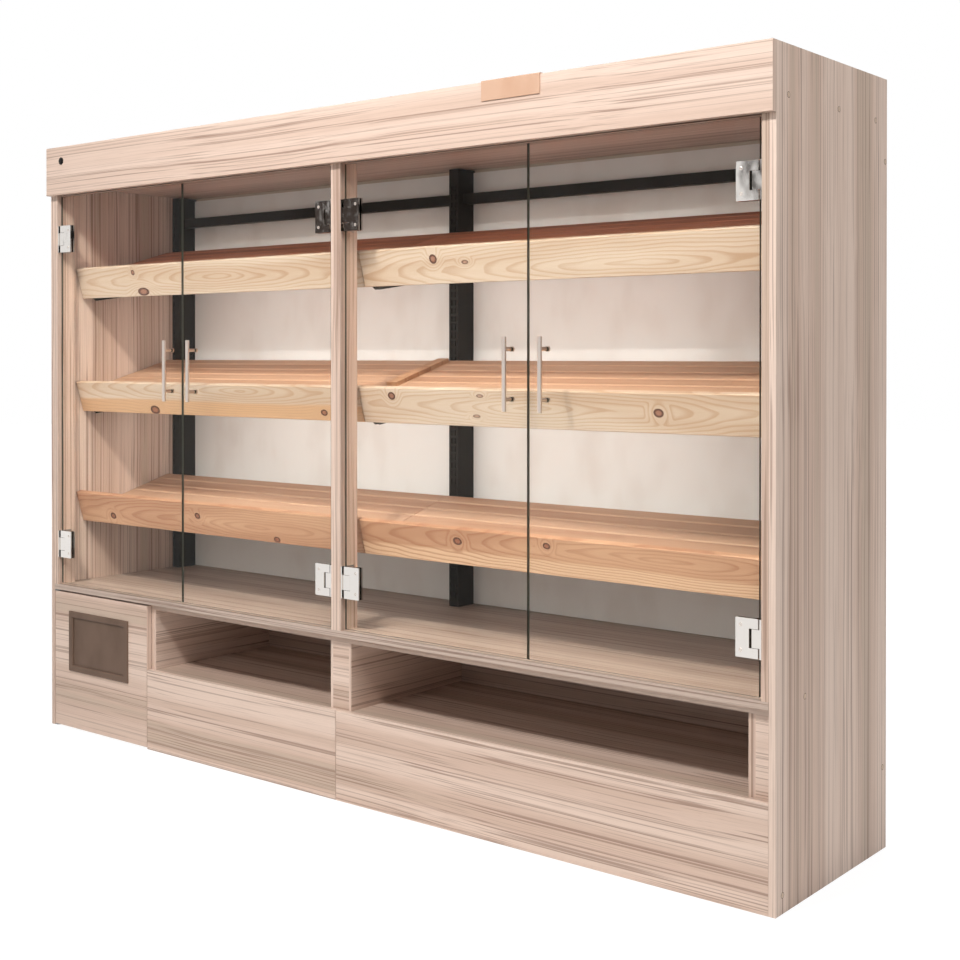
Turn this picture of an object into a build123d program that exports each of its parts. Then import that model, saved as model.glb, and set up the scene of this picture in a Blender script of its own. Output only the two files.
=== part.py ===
"""Bread display shelf: a laminate cabinet with four glass doors, sloping pine shelves
on slotted steel uprights, two open niches and a service compartment in the base.

Millimetres. In the cabinet's own terms x runs from the outer face of the left side
panel, y from the front edges of the side panels towards the back, z up from the floor.
The three datum planes below put the origin under the middle of the whole cabinet.
"""

from build123d import *
from math import cos, radians, sin, tan
import os

os.makedirs("parts", exist_ok=True)

# Overall cabinet
WIDTH = 2712.0
DEPTH = 600.0
HEIGHT = 1950.0
BOARD = 18.0
FILLER = 15.0
BACK_BOARD = 12.0

# Front frame: stiles and post stand on the deck and carry the doors
DECK_TOP = 478.0
CEILING_TOP = 1846.0
FRAME_DEPTH = 70.0
POST_LEFT = 1331.0
POST_WIDTH = 2 * BOARD
FASCIA_HEIGHT = 160.0
HEADER_Y = 20.0
HEADER_BOTTOM = 1790.0

# Base: service compartment on the left, then two niches over the aprons
APRON_TOP = 252.0
APRON_SEAM = 1348.3
COMPARTMENT_RIGHT = 494.0
RECESS = 20.0
NICHE_BACK_Y = 505.0
NICHE_LEFT = (COMPARTMENT_RIGHT + BOARD, 1328.0)
NICHE_RIGHT = (1372.0, 2652.0)
FILLER_LAP = 9.0
SUB_DECK_BOTTOM = DECK_TOP - 2 * BOARD

# Access door
ACCESS_LEFT = 22.0
ACCESS_RIGHT = 509.5
ACCESS_BOTTOM = 5.0
ACCESS_TOP = 454.0
ACCESS_PIVOT_X = 30.0
ACCESS_PIVOT_Y = 8.0
BEZEL_LEFT, BEZEL_RIGHT = 102.0, 416.0
BEZEL_BOTTOM, BEZEL_TOP = 195.0, 395.0
BEZEL_RAIL = 21.0
BEZEL_STEP = 5.0

# Glass doors
GLASS = 8.0
GLASS_Y = 9.0
GLASS_BOTTOM = 483.0
GLASS_TOP = 1786.0
GLASS_EDGE_GAP = 10.0
GLASS_MEETING_GAP = 3.0
MEETING_LINES = (672.5, 2016.5)

# Glass-to-wall pivot hinge, a common 90 by 57 pattern
HINGE_HEIGHTS = (614.5, 1643.5)
HINGE_TALL = 90.0
HINGE_WIDE = 57.0
HINGE_PLATE = 5.0
WALL_PLATE = 5.0
WALL_PLATE_DEPTH = 50.0
WALL_PLATE_SET_BACK = 1.0
PIVOT_REACH = 22.0
PIVOT_Y = GLASS_Y + GLASS / 2
KNUCKLE_TALL = 42.0
KNUCKLE_HALF = 9.0
KNUCKLE_CORNER = 5.0
KNUCKLE_GAP = 1.0
NOTCH_REACH = 11.0
PIN_RADIUS = 3.0
PIN_CLEARANCE = 0.05
BOSS_TALL = 12.0

# T-bar handle, 128 between centres
HANDLE_Z = 1203.0
HANDLE_LENGTH = 190.0
HANDLE_CENTRES = 128.0
HANDLE_RADIUS = 6.0
HANDLE_REACH = 25.0
HANDLE_FROM_EDGE = 54.5
STANDOFF_RADIUS = 5.0
SHANK_CLEARANCE = 0.5
HANDLE_NUT_ACROSS = 13.0
HANDLE_NUT = 4.0

# Slotted steel uprights behind the shelves
UPRIGHT_WIDE = 36.0
UPRIGHT_DEEP = 82.0
UPRIGHT_Y = 505.0
UPRIGHT_WALL = 2.0
UPRIGHT_TOP = 1824.0
UPRIGHT_CENTRES = (38.0, 1360.0, 2674.0)
SLOT_TALL = 17.0
SLOT_WIDE = 4.0
SLOT_PITCH = 25.0
SLOT_COLUMN = 7.0
SLOT_LOWEST = DECK_TOP + 35.0
SLOT_ROWS = 51
BEAM_TALL = 32.0
BEAM_DEEP = 25.0
BEAM_BOTTOM = 1717.0
BEAM_Y = 530.0
STEEL_PANEL_Y = 580.0
STEEL_PANEL_TOP = 1818.0
STEEL_PANEL_WALL = 1.5
STEEL_PANEL_FLANGE = 6.5

# Shelves, all sloping down to the front
SLOPE = 16.5
SHELF_BACK_Y = 480.0
PLANK = 18.0
PLANK_PITCH = 55.0
PLANK_GAP = 4.0
PLANK_EASE = 2.5
PLANK_FULL = 5
PLANK_FRONT_Y = 160.0
FRONT_BOARD_TALL = 105.0
FRONT_BOARD_THICK = 20.0
FRONT_BOARD_Y = 84.0
SECTION_LEFT = (24.0, 1355.0)
SECTION_RIGHT = (1357.5, 2690.0)
# Each level: height of the slats' back edge, of the front board's top, depth of the
# battens, and how far the end battens stand in from the ends. The upper two rest on
# the arms by their end battens, the bottom one by its slats.
LEVELS = {
    "top": (1626.0, 1547.0, 40.0, 0.0),
    "middle": (1236.0, 1160.0, 40.0, 0.0),
    "bottom": (822.0, 783.0, 28.0, 60.0),
}
BATTEN_WIDE = 45.0
BATTEN_SET_BACK = 16.0
BATTEN_END = 6.0
JOINT_BATTEN_Y = (229.0, 465.0)
ARM_TIP_Y = 150.0
ARM_TIP_TALL = 27.0
ARM_ROOT_TALL = 86.0
ARM_THICK = 3.0

# Fascia fittings
SWITCH_X = 83.6
SWITCH_Z = 1902.0
SWITCH_HOLE_RADIUS = 8.5
SWITCH_FLANGE_RADIUS = 12.0
SWITCH_FLANGE = 1.5
BUTTON_RADIUS = 8.0
BUTTON_TRAVEL = 2.0
BUTTON_PROUD = BUTTON_TRAVEL + 0.5
TAB_LEFT, TAB_RIGHT = 1890.0, 2076.0
TAB_BOTTOM = 1901.0
TAB_THICK = 3.0

# The origin lies under the middle of the cabinet, doors' handles included
FRONT_MOST = GLASS_Y - HANDLE_REACH - HANDLE_RADIUS
MIDDLE_Y = (FRONT_MOST + DEPTH) / 2
DATUM = (-WIDTH / 2, -MIDDLE_Y, 0)
FLOOR = Plane(origin=DATUM, x_dir=(1, 0, 0), z_dir=(0, 0, 1))
FRONT = Plane(origin=DATUM, x_dir=(1, 0, 0), z_dir=(0, -1, 0))
SIDE = Plane(origin=DATUM, x_dir=(0, 1, 0), z_dir=(1, 0, 0))

STILE_FACES = (2 * BOARD, POST_LEFT, POST_LEFT + POST_WIDTH, WIDTH - 2 * BOARD)
RISE = tan(radians(SLOPE))


def save(part, name):
    """Label a finished piece and write its file."""
    part.label = name
    export_step(part, f"parts/{name}.step")


def block(x0, x1, y0, y1, z0, z1, mode=Mode.ADD):
    """Extrude one rectangular board or bar between two corners, in the current part."""
    with BuildSketch(FLOOR.offset(z0)) as plan:
        with Locations(((x0 + x1) / 2, (y0 + y1) / 2)):
            Rectangle(x1 - x0, y1 - y0)
    extrude(plan.sketch, amount=z1 - z0, mode=mode)


def board(name, x0, x1, y0, y1, z0, z1):
    """One plain laminate board."""
    with BuildPart() as piece:
        block(x0, x1, y0, y1, z0, z1)
    save(piece.part, name)


def boards(name, corners):
    """Several boards of one kind in one node."""
    with BuildPart() as group:
        for corner in corners:
            block(*corner)
    save(group.part, name)


def side_panels():
    """Full-height end panels, eased along the front edge."""
    for name, left in (("side_panel_left", 0.0), ("side_panel_right", WIDTH - BOARD)):
        with BuildPart() as panel:
            block(left, left + BOARD, 0, DEPTH, 0, HEIGHT)
            front_edges = panel.edges().filter_by(Axis.Z).group_by(Axis.Y)[0]
            chamfer(front_edges, length=0.8)
        save(panel.part, name)


def carcass():
    """Boards that make the case: front frame, deck, ceiling and back."""
    inner_left, inner_right = BOARD, WIDTH - BOARD
    deck_bottom = DECK_TOP - BOARD
    ceiling_bottom = CEILING_TOP - BOARD
    back_y = DEPTH - BACK_BOARD
    board("deck_board", inner_left, inner_right, 0, back_y, deck_bottom, DECK_TOP)
    board("ceiling_board", inner_left, inner_right, 0, back_y, ceiling_bottom, CEILING_TOP)
    for name, left in (
        ("stile_left", inner_left),
        ("stile_right", inner_right - BOARD),
    ):
        board(name, left, left + BOARD, 0, FRAME_DEPTH, DECK_TOP, ceiling_bottom)
    board(
        "centre_post",
        POST_LEFT,
        POST_LEFT + POST_WIDTH,
        0,
        FRAME_DEPTH,
        DECK_TOP,
        ceiling_bottom,
    )
    bays = ((STILE_FACES[0], STILE_FACES[1]), (STILE_FACES[2], STILE_FACES[3]))
    boards(
        "header_rail",
        [
            (left, right, HEADER_Y, HEADER_Y + BOARD, HEADER_BOTTOM, ceiling_bottom)
            for left, right in bays
        ],
    )
    half = WIDTH / 2
    boards(
        "back_boards",
        [
            (inner_left, half, back_y, DEPTH, 0, HEIGHT),
            (half, inner_right, back_y, DEPTH, 0, HEIGHT),
        ],
    )


def fascia():
    """Deep board across the top front, its switch and the folded tab on its edge."""
    fascia_bottom = HEIGHT - FASCIA_HEIGHT
    with BuildPart() as face:
        with BuildSketch(FRONT):
            with Locations((WIDTH / 2, HEIGHT - FASCIA_HEIGHT / 2)):
                Rectangle(WIDTH, FASCIA_HEIGHT)
            with Locations((SWITCH_X, SWITCH_Z)):
                Circle(SWITCH_HOLE_RADIUS, mode=Mode.SUBTRACT)
        extrude(amount=BOARD)
        front_edges = face.edges().filter_by(Axis.X).group_by(Axis.Y)[0]
        chamfer(front_edges, length=0.8)
    save(face.part, "fascia_board")

    front_y = -BOARD - TAB_THICK
    top_z = HEIGHT + TAB_THICK
    tab_back = 30.0
    with BuildPart() as tab:
        with BuildSketch(SIDE.offset(TAB_LEFT)):
            with BuildLine():
                Polyline(
                    (front_y, TAB_BOTTOM),
                    (-BOARD, TAB_BOTTOM),
                    (-BOARD, HEIGHT),
                    (tab_back, HEIGHT),
                    (tab_back, top_z),
                    (front_y, top_z),
                    close=True,
                )
            make_face()
        extrude(amount=TAB_RIGHT - TAB_LEFT)
        bend = tab.edges().filter_by(Axis.X).group_by(Axis.Y)[0].sort_by(Axis.Z)[-1]
        fillet(bend, radius=2.5)
    save(tab.part, "fascia_tab")

    with BuildPart() as bezel:
        with BuildSketch(FRONT.offset(BOARD)):
            with Locations((SWITCH_X, SWITCH_Z)):
                Circle(SWITCH_FLANGE_RADIUS)
                Circle(SWITCH_HOLE_RADIUS, mode=Mode.SUBTRACT)
        extrude(amount=SWITCH_FLANGE)
    save(bezel.part, "switch_bezel")

    with BuildPart() as button:
        with BuildSketch(FRONT.offset(BOARD + SWITCH_FLANGE + BUTTON_PROUD)):
            with Locations((SWITCH_X, SWITCH_Z)):
                Circle(BUTTON_RADIUS)
        extrude(amount=-BUTTON_PROUD - SWITCH_FLANGE - BOARD / 2)
    save(button.part, "switch_button")


def base():
    """Aprons, compartment divider, and the two niches with their linings."""
    inner_right = WIDTH - BOARD
    deck_bottom = DECK_TOP - BOARD
    back_y = DEPTH - BACK_BOARD
    lining_back = NICHE_BACK_Y + BOARD
    half_seam = 1.0
    board("apron_middle", ACCESS_RIGHT + 2, APRON_SEAM - half_seam, 0, BOARD, 0, APRON_TOP)
    board("apron_right", APRON_SEAM + half_seam, inner_right, 0, BOARD, 0, APRON_TOP)
    board(
        "compartment_divider",
        COMPARTMENT_RIGHT,
        NICHE_LEFT[0],
        RECESS,
        back_y,
        0,
        deck_bottom,
    )
    floor_bottom = APRON_TOP - BOARD
    support_left = APRON_SEAM - BOARD / 2
    board("niche_floor", NICHE_LEFT[0], inner_right, BOARD, lining_back, floor_bottom, APRON_TOP)
    board("floor_support", support_left, support_left + BOARD, BOARD, lining_back, 0, floor_bottom)
    board(
        "sub_deck",
        NICHE_LEFT[0],
        inner_right,
        RECESS,
        lining_back,
        SUB_DECK_BOTTOM,
        deck_bottom,
    )
    filler_left = NICHE_LEFT[1] - FILLER_LAP
    filler_right = NICHE_RIGHT[0] + FILLER_LAP
    filler_back = RECESS + FILLER
    with BuildPart() as walls:
        for left, right in (NICHE_LEFT, NICHE_RIGHT):
            for wall_x in (left, right - BOARD):
                block(
                    wall_x,
                    wall_x + BOARD,
                    RECESS,
                    lining_back,
                    APRON_TOP,
                    SUB_DECK_BOTTOM,
                )
        # Rebates in the two middle walls, in which the centre filler is seated
        block(
            filler_left,
            filler_right,
            RECESS,
            filler_back,
            APRON_TOP,
            SUB_DECK_BOTTOM,
            mode=Mode.SUBTRACT,
        )
    save(walls.part, "niche_walls")
    boards(
        "niche_backs",
        [
            (
                left + BOARD,
                right - BOARD,
                NICHE_BACK_Y,
                lining_back,
                APRON_TOP,
                SUB_DECK_BOTTOM,
            )
            for left, right in (NICHE_LEFT, NICHE_RIGHT)
        ],
    )
    for name, left, right in (
        ("filler_centre", filler_left, filler_right),
        ("filler_right", NICHE_RIGHT[1], inner_right),
    ):
        board(name, left, right, RECESS, filler_back, APRON_TOP, SUB_DECK_BOTTOM)


def access_door():
    """Inset service door on two pivots, with a bevelled frame round a flat insert."""
    window_margin = 10.0
    centre_x = (BEZEL_LEFT + BEZEL_RIGHT) / 2
    centre_z = (BEZEL_BOTTOM + BEZEL_TOP) / 2
    frame_wide = BEZEL_RIGHT - BEZEL_LEFT
    frame_tall = BEZEL_TOP - BEZEL_BOTTOM
    hole_wide = frame_wide - 2 * window_margin
    hole_tall = frame_tall - 2 * window_margin
    pivot_deep = 20.0
    with BuildPart() as door:
        with BuildSketch(FRONT):
            with Locations(
                ((ACCESS_LEFT + ACCESS_RIGHT) / 2, (ACCESS_BOTTOM + ACCESS_TOP) / 2)
            ):
                Rectangle(ACCESS_RIGHT - ACCESS_LEFT, ACCESS_TOP - ACCESS_BOTTOM)
            with Locations((centre_x, centre_z)):
                Rectangle(hole_wide, hole_tall, mode=Mode.SUBTRACT)
        extrude(amount=-BOARD)
        for end_z, inward in ((ACCESS_TOP, -1), (ACCESS_BOTTOM, 1)):
            with BuildSketch(FLOOR.offset(end_z)):
                with Locations((ACCESS_PIVOT_X, ACCESS_PIVOT_Y)):
                    Circle(PIN_RADIUS)
            extrude(amount=inward * pivot_deep, mode=Mode.SUBTRACT)
    save(door.part, "access_door")

    opening_wide = frame_wide - 2 * BEZEL_RAIL
    opening_tall = frame_tall - 2 * BEZEL_RAIL
    spigot = 12.0
    with BuildPart() as bezel:
        with BuildSketch(FRONT):
            with Locations((centre_x, centre_z)):
                Rectangle(frame_wide, frame_tall)
        extrude(amount=BEZEL_STEP)
        with BuildSketch(FRONT):
            with Locations((centre_x, centre_z)):
                Rectangle(hole_wide, hole_tall)
        extrude(amount=-spigot)
        front_face = bezel.faces().sort_by(Axis.Y)[0]
        chamfer(front_face.edges(), length=1.5)
        with BuildSketch(FRONT.offset(BEZEL_STEP)):
            with Locations((centre_x, centre_z)):
                Rectangle(opening_wide, opening_tall)
        extrude(amount=-BEZEL_STEP - spigot, mode=Mode.SUBTRACT)
        mouth = bezel.faces().sort_by(Axis.Y)[0].inner_wires()[0]
        chamfer(mouth.edges(), length=3.0)
    save(bezel.part, "access_bezel")

    with BuildPart() as insert:
        with BuildSketch(FRONT.offset(-1.0)):
            with Locations((centre_x, centre_z)):
                Rectangle(opening_wide, opening_tall)
        extrude(amount=-6.0)
        chamfer(insert.faces().sort_by(Axis.Y)[0].edges(), length=1.0)
    save(insert.part, "access_insert")

    tongue = 2.5
    gap = 1.5
    pin_top = ACCESS_TOP + gap + tongue
    pin_bottom = ACCESS_BOTTOM - gap - tongue
    with BuildPart() as pins:
        for low, high in (
            (ACCESS_TOP - pivot_deep, pin_top),
            (pin_bottom, ACCESS_BOTTOM + pivot_deep),
        ):
            with BuildSketch(FLOOR.offset(low)):
                with Locations((ACCESS_PIVOT_X, ACCESS_PIVOT_Y)):
                    Circle(PIN_RADIUS)
            extrude(amount=high - low)
    save(pins.part, "access_pivot_pins")

    leaf_deep = 60.0
    leaf_tall = 42.0
    tongue_reach = ACCESS_PIVOT_X + 8.0
    tongue_deep = 2 * ACCESS_PIVOT_Y
    with BuildPart() as brackets:
        for low, leaf_low in (
            (ACCESS_TOP + gap, ACCESS_TOP + gap + tongue - leaf_tall),
            (ACCESS_BOTTOM - gap - tongue, ACCESS_BOTTOM - gap - tongue),
        ):
            with BuildSketch(FLOOR.offset(low)):
                with BuildLine():
                    Polyline(
                        (BOARD, 0.5),
                        (tongue_reach - 6, 0.5),
                        (tongue_reach, 6.5),
                        (tongue_reach, tongue_deep),
                        (BOARD + tongue, tongue_deep + 12),
                        (BOARD + tongue, leaf_deep),
                        (BOARD, leaf_deep),
                        close=True,
                    )
                make_face()
                with Locations((ACCESS_PIVOT_X, ACCESS_PIVOT_Y)):
                    Circle(PIN_RADIUS + PIN_CLEARANCE, mode=Mode.SUBTRACT)
            extrude(amount=tongue)
            block(BOARD, BOARD + tongue, 24.0, leaf_deep, leaf_low, leaf_low + leaf_tall)
    save(brackets.part, "access_pivot_brackets")

    catch_deep = 16.0
    catch_wide = 24.0
    catch_z = ACCESS_TOP - 70.0
    with BuildPart() as catch:
        block(
            COMPARTMENT_RIGHT - catch_wide,
            COMPARTMENT_RIGHT,
            RECESS,
            RECESS + catch_deep,
            catch_z,
            catch_z + 40.0,
        )
        chamfer(catch.edges().filter_by(Axis.Z).group_by(Axis.X)[0], length=3.0)
    save(catch.part, "door_catch")


def uprights():
    """Folded channels, open at the back, with a column of slots in the front web for
    each row of shelf arms that they carry."""
    columns = {
        "upright_left": (-SLOT_COLUMN,),
        "upright_centre": (-SLOT_COLUMN, SLOT_COLUMN),
        "upright_right": (SLOT_COLUMN,),
    }
    lip = 10.0
    half = UPRIGHT_WIDE / 2
    slots_middle = SLOT_LOWEST + (SLOT_ROWS - 1) * SLOT_PITCH / 2
    for (name, places), centre_x in zip(columns.items(), UPRIGHT_CENTRES):
        left, right = centre_x - half, centre_x + half
        back_y = UPRIGHT_Y + UPRIGHT_DEEP
        with BuildPart() as channel:
            with BuildSketch(FLOOR.offset(DECK_TOP)):
                with BuildLine():
                    Polyline(
                        (left + lip, back_y - UPRIGHT_WALL),
                        (left + UPRIGHT_WALL, back_y - UPRIGHT_WALL),
                        (left + UPRIGHT_WALL, UPRIGHT_Y + UPRIGHT_WALL),
                        (right - UPRIGHT_WALL, UPRIGHT_Y + UPRIGHT_WALL),
                        (right - UPRIGHT_WALL, back_y - UPRIGHT_WALL),
                        (right - lip, back_y - UPRIGHT_WALL),
                        (right - lip, back_y),
                        (right, back_y),
                        (right, UPRIGHT_Y),
                        (left, UPRIGHT_Y),
                        (left, back_y),
                        (left + lip, back_y),
                        close=True,
                    )
                make_face()
            extrude(amount=UPRIGHT_TOP - DECK_TOP)
            with BuildSketch(FRONT.offset(-UPRIGHT_Y)):
                with Locations(*[(centre_x + column, slots_middle) for column in places]):
                    with GridLocations(0, SLOT_PITCH, 1, SLOT_ROWS):
                        Rectangle(SLOT_WIDE, SLOT_TALL)
            extrude(amount=-UPRIGHT_WALL, mode=Mode.SUBTRACT)
        save(channel.part, name)


def gondola_sheet():
    """Cross beams and the folded steel panels that close the back between uprights."""
    half = UPRIGHT_WIDE / 2
    spans = [
        (UPRIGHT_CENTRES[0] + half, UPRIGHT_CENTRES[1] - half),
        (UPRIGHT_CENTRES[1] + half, UPRIGHT_CENTRES[2] - half),
    ]
    with BuildPart() as beams:
        for left, right in spans:
            block(
                left,
                right,
                BEAM_Y,
                BEAM_Y + BEAM_DEEP,
                BEAM_BOTTOM,
                BEAM_BOTTOM + BEAM_TALL,
            )
    save(beams.part, "cross_beams")

    back = STEEL_PANEL_Y + STEEL_PANEL_FLANGE
    front = STEEL_PANEL_Y
    bottom, top = DECK_TOP + 2, STEEL_PANEL_TOP
    wall = STEEL_PANEL_WALL
    with BuildPart() as panels:
        for left, right in spans:
            with BuildSketch(SIDE.offset(left)):
                with BuildLine():
                    Polyline(
                        (front, bottom),
                        (back, bottom),
                        (back, bottom + wall),
                        (front + wall, bottom + wall),
                        (front + wall, top - wall),
                        (back, top - wall),
                        (back, top),
                        (front, top),
                        close=True,
                    )
                make_face()
            extrude(amount=right - left)
    save(panels.part, "steel_back_panels")


def slat_underside(level, y):
    """Height of the slats' underside at a distance y behind the front."""
    back_z = LEVELS[level][0]
    return back_z - (SHELF_BACK_Y - y) * RISE - PLANK / cos(radians(SLOPE))


def brackets():
    """Shelf arms hooked into the uprights, with a straight taper to the front."""
    column = SLOT_COLUMN
    left_x, centre_x, right_x = UPRIGHT_CENTRES
    arm_centres = (left_x - column, centre_x - column, centre_x + column, right_x + column)
    half_slot = SLOT_TALL / 2
    web_back = UPRIGHT_Y + UPRIGHT_WALL + 0.3
    hook_back = web_back + 3.0
    with BuildPart() as arms:
        for level, (_, _, batten_deep, batten_inset) in LEVELS.items():
            under = 0.0 if batten_inset else batten_deep / cos(radians(SLOPE))
            root_top = slat_underside(level, UPRIGHT_Y) - under
            tip_top = slat_underside(level, ARM_TIP_Y) - under
            root_bottom = root_top - ARM_ROOT_TALL
            slot = int((root_top - half_slot - SLOT_LOWEST) // SLOT_PITCH)
            hooks = [SLOT_LOWEST + (slot - skip) * SLOT_PITCH for skip in (0, 2)]
            for arm_x in arm_centres:
                with BuildSketch(SIDE.offset(arm_x - ARM_THICK / 2)):
                    with BuildLine():
                        Polyline(
                            (UPRIGHT_Y, root_top),
                            (UPRIGHT_Y, root_bottom),
                            (UPRIGHT_Y - 30.0, root_bottom),
                            (ARM_TIP_Y + 12.0, tip_top - ARM_TIP_TALL),
                            (ARM_TIP_Y, tip_top - ARM_TIP_TALL + 8.0),
                            (ARM_TIP_Y, tip_top),
                            close=True,
                        )
                    make_face()
                    for hook_z in hooks:
                        with BuildLine():
                            Polyline(
                                (UPRIGHT_Y, hook_z + 3.0),
                                (hook_back, hook_z + 3.0),
                                (hook_back, hook_z - half_slot - 6.0),
                                (web_back, hook_z - half_slot - 6.0),
                                (web_back, hook_z - half_slot),
                                (UPRIGHT_Y, hook_z - half_slot),
                                close=True,
                            )
                        make_face()
                extrude(amount=ARM_THICK)
    save(arms.part, "shelf_brackets")


def sloped_bar(x0, x1, y0, y1, top_gap, thick, level, ease=0.0):
    """A bar between x0 and x1 whose section lies along the slope from y0 to y1.

    top_gap is how far its upper face lies under the slats' upper surface, and ease
    the width of the chamfers along its two upper edges.
    """
    back_z = LEVELS[level][0]
    angle = radians(SLOPE)
    middle_y = (y0 + y1) / 2
    surface_z = back_z - (SHELF_BACK_Y - middle_y) * RISE
    drop = top_gap + thick / 2
    with BuildSketch(SIDE.offset(x0)) as section:
        with Locations((middle_y + drop * sin(angle), surface_z - drop * cos(angle))):
            Rectangle((y1 - y0) / cos(angle), thick, rotation=SLOPE)
        if ease:
            chamfer(section.vertices().sort_by(Axis.Y).sort_by(Axis.Z)[-2:], length=ease)
    extrude(section.sketch, amount=x1 - x0)


def slat_front_y(level):
    """How far back the slats' upper surface meets the back face of the front board."""
    back_z, board_top = LEVELS[level][:2]
    angle = radians(SLOPE)
    board_back_y = FRONT_BOARD_Y + FRONT_BOARD_THICK * cos(angle)
    board_back_z = board_top + FRONT_BOARD_THICK * sin(angle)
    surface_z = back_z - (SHELF_BACK_Y - board_back_y) * RISE
    return board_back_y + (board_back_z - surface_z) * cos(angle) * sin(angle)


def slats():
    """Loose planks laid along the cabinet on each level, with gaps between them."""
    gap = PLANK_GAP * cos(radians(SLOPE))
    for level in LEVELS:
        edges = [slat_front_y(level)]
        edges += [PLANK_FRONT_Y + i * PLANK_PITCH for i in range(PLANK_FULL + 1)]
        edges.append(SHELF_BACK_Y + gap)
        with BuildPart() as panel:
            for left, right in (SECTION_LEFT, SECTION_RIGHT):
                for y0, y1 in zip(edges[:-1], edges[1:]):
                    sloped_bar(left, right, y0, y1 - gap, 0.0, PLANK, level, PLANK_EASE)
        save(panel.part, f"slats_{level}")


def battens():
    """Battens under the planks, running front to back, four to each section."""
    per_section = 4
    with BuildPart() as bars:
        for level, (_, _, deep, inset) in LEVELS.items():
            front_y = slat_front_y(level) + BATTEN_SET_BACK
            for left, right in (SECTION_LEFT, SECTION_RIGHT):
                span = right - left - 2 * inset - BATTEN_WIDE
                for i in range(per_section):
                    x0 = left + inset + i * span / (per_section - 1)
                    sloped_bar(
                        x0,
                        x0 + BATTEN_WIDE,
                        front_y,
                        SHELF_BACK_Y - BATTEN_END,
                        PLANK,
                        deep,
                        level,
                    )
    save(bars.part, "shelf_battens")


def front_boards():
    """Pine boards across the shelf fronts, square to the slope, eased at the edges."""
    angle = radians(SLOPE)
    for level, (_, board_top, _, _) in LEVELS.items():
        for bay, (left, right) in (("left", SECTION_LEFT), ("right", SECTION_RIGHT)):
            with BuildPart() as lip:
                with BuildSketch(SIDE.offset(left)) as section:
                    half_tall = FRONT_BOARD_TALL / 2
                    half_thick = FRONT_BOARD_THICK / 2
                    centre_y = FRONT_BOARD_Y + half_tall * sin(angle) + half_thick * cos(angle)
                    centre_z = board_top - half_tall * cos(angle) + half_thick * sin(angle)
                    with Locations((centre_y, centre_z)):
                        Rectangle(FRONT_BOARD_THICK, FRONT_BOARD_TALL, rotation=SLOPE)
                    chamfer(section.vertices(), length=2.0)
                extrude(amount=right - left)
            save(lip.part, f"front_board_{level}_{bay}")


def joint_batten():
    """Cover strip over the joint between the two middle shelf sections."""
    strip_wide = 40.0
    strip_thick = 12.0
    middle_x = (SECTION_LEFT[1] + SECTION_RIGHT[0]) / 2
    with BuildPart() as strip:
        sloped_bar(
            middle_x - strip_wide / 2,
            middle_x + strip_wide / 2,
            JOINT_BATTEN_Y[0],
            JOINT_BATTEN_Y[1],
            -strip_thick,
            strip_thick,
            "middle",
            2.0,
        )
    save(strip.part, "joint_batten")


def hinge_side(wall_x):
    """+1 where the glass lies to the right of this wall face, -1 where it lies left."""
    return 1 if wall_x in (STILE_FACES[0], STILE_FACES[2]) else -1


def glass_doors():
    """Frameless panes, notched round the hinge knuckles and drilled for the handles."""
    notch_deep = PIVOT_REACH + NOTCH_REACH + KNUCKLE_GAP - GLASS_EDGE_GAP
    notch_half = KNUCKLE_TALL / 2 + KNUCKLE_GAP + BOSS_TALL + 0.5
    for number, wall_x in enumerate(STILE_FACES, start=1):
        side = hinge_side(wall_x)
        hinge_edge = wall_x + side * GLASS_EDGE_GAP
        free_edge = MEETING_LINES[(number - 1) // 2] - side * GLASS_MEETING_GAP / 2
        handle_x = free_edge - side * HANDLE_FROM_EDGE
        with BuildPart() as pane:
            with BuildSketch(FRONT.offset(-GLASS_Y)):
                with Locations(((hinge_edge + free_edge) / 2, (GLASS_TOP + GLASS_BOTTOM) / 2)):
                    Rectangle(abs(free_edge - hinge_edge), GLASS_TOP - GLASS_BOTTOM)
                for hinge_z in HINGE_HEIGHTS:
                    with Locations((hinge_edge, hinge_z)):
                        Rectangle(2 * notch_deep, 2 * notch_half, mode=Mode.SUBTRACT)
                for stud_z in (-HANDLE_CENTRES / 2, HANDLE_CENTRES / 2):
                    with Locations((handle_x, HANDLE_Z + stud_z)):
                        Circle(STANDOFF_RADIUS + SHANK_CLEARANCE, mode=Mode.SUBTRACT)
            extrude(amount=-GLASS)
        save(pane.part, f"glass_door_{number}")
        door_handle(number, handle_x)
        hinge_clamps(number, wall_x)


def door_handle(number, handle_x):
    """Round bar on two shanks that pass through the glass to hexagonal nuts."""
    bar_y = GLASS_Y - HANDLE_REACH
    glass_back = GLASS_Y + GLASS
    with BuildPart() as handle:
        with BuildSketch(FLOOR.offset(HANDLE_Z - HANDLE_LENGTH / 2)):
            with Locations((handle_x, bar_y)):
                Circle(HANDLE_RADIUS)
        extrude(amount=HANDLE_LENGTH)
        for stud_z in (-HANDLE_CENTRES / 2, HANDLE_CENTRES / 2):
            with BuildSketch(FRONT.offset(-bar_y)):
                with Locations((handle_x, HANDLE_Z + stud_z)):
                    Circle(STANDOFF_RADIUS)
            extrude(amount=bar_y - glass_back)
            with BuildSketch(FRONT.offset(-glass_back)):
                with Locations((handle_x, HANDLE_Z + stud_z)):
                    RegularPolygon(HANDLE_NUT_ACROSS / 2, side_count=6, major_radius=False)
            extrude(amount=-HANDLE_NUT)
    save(handle.part, f"door_handle_{number}")


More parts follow.
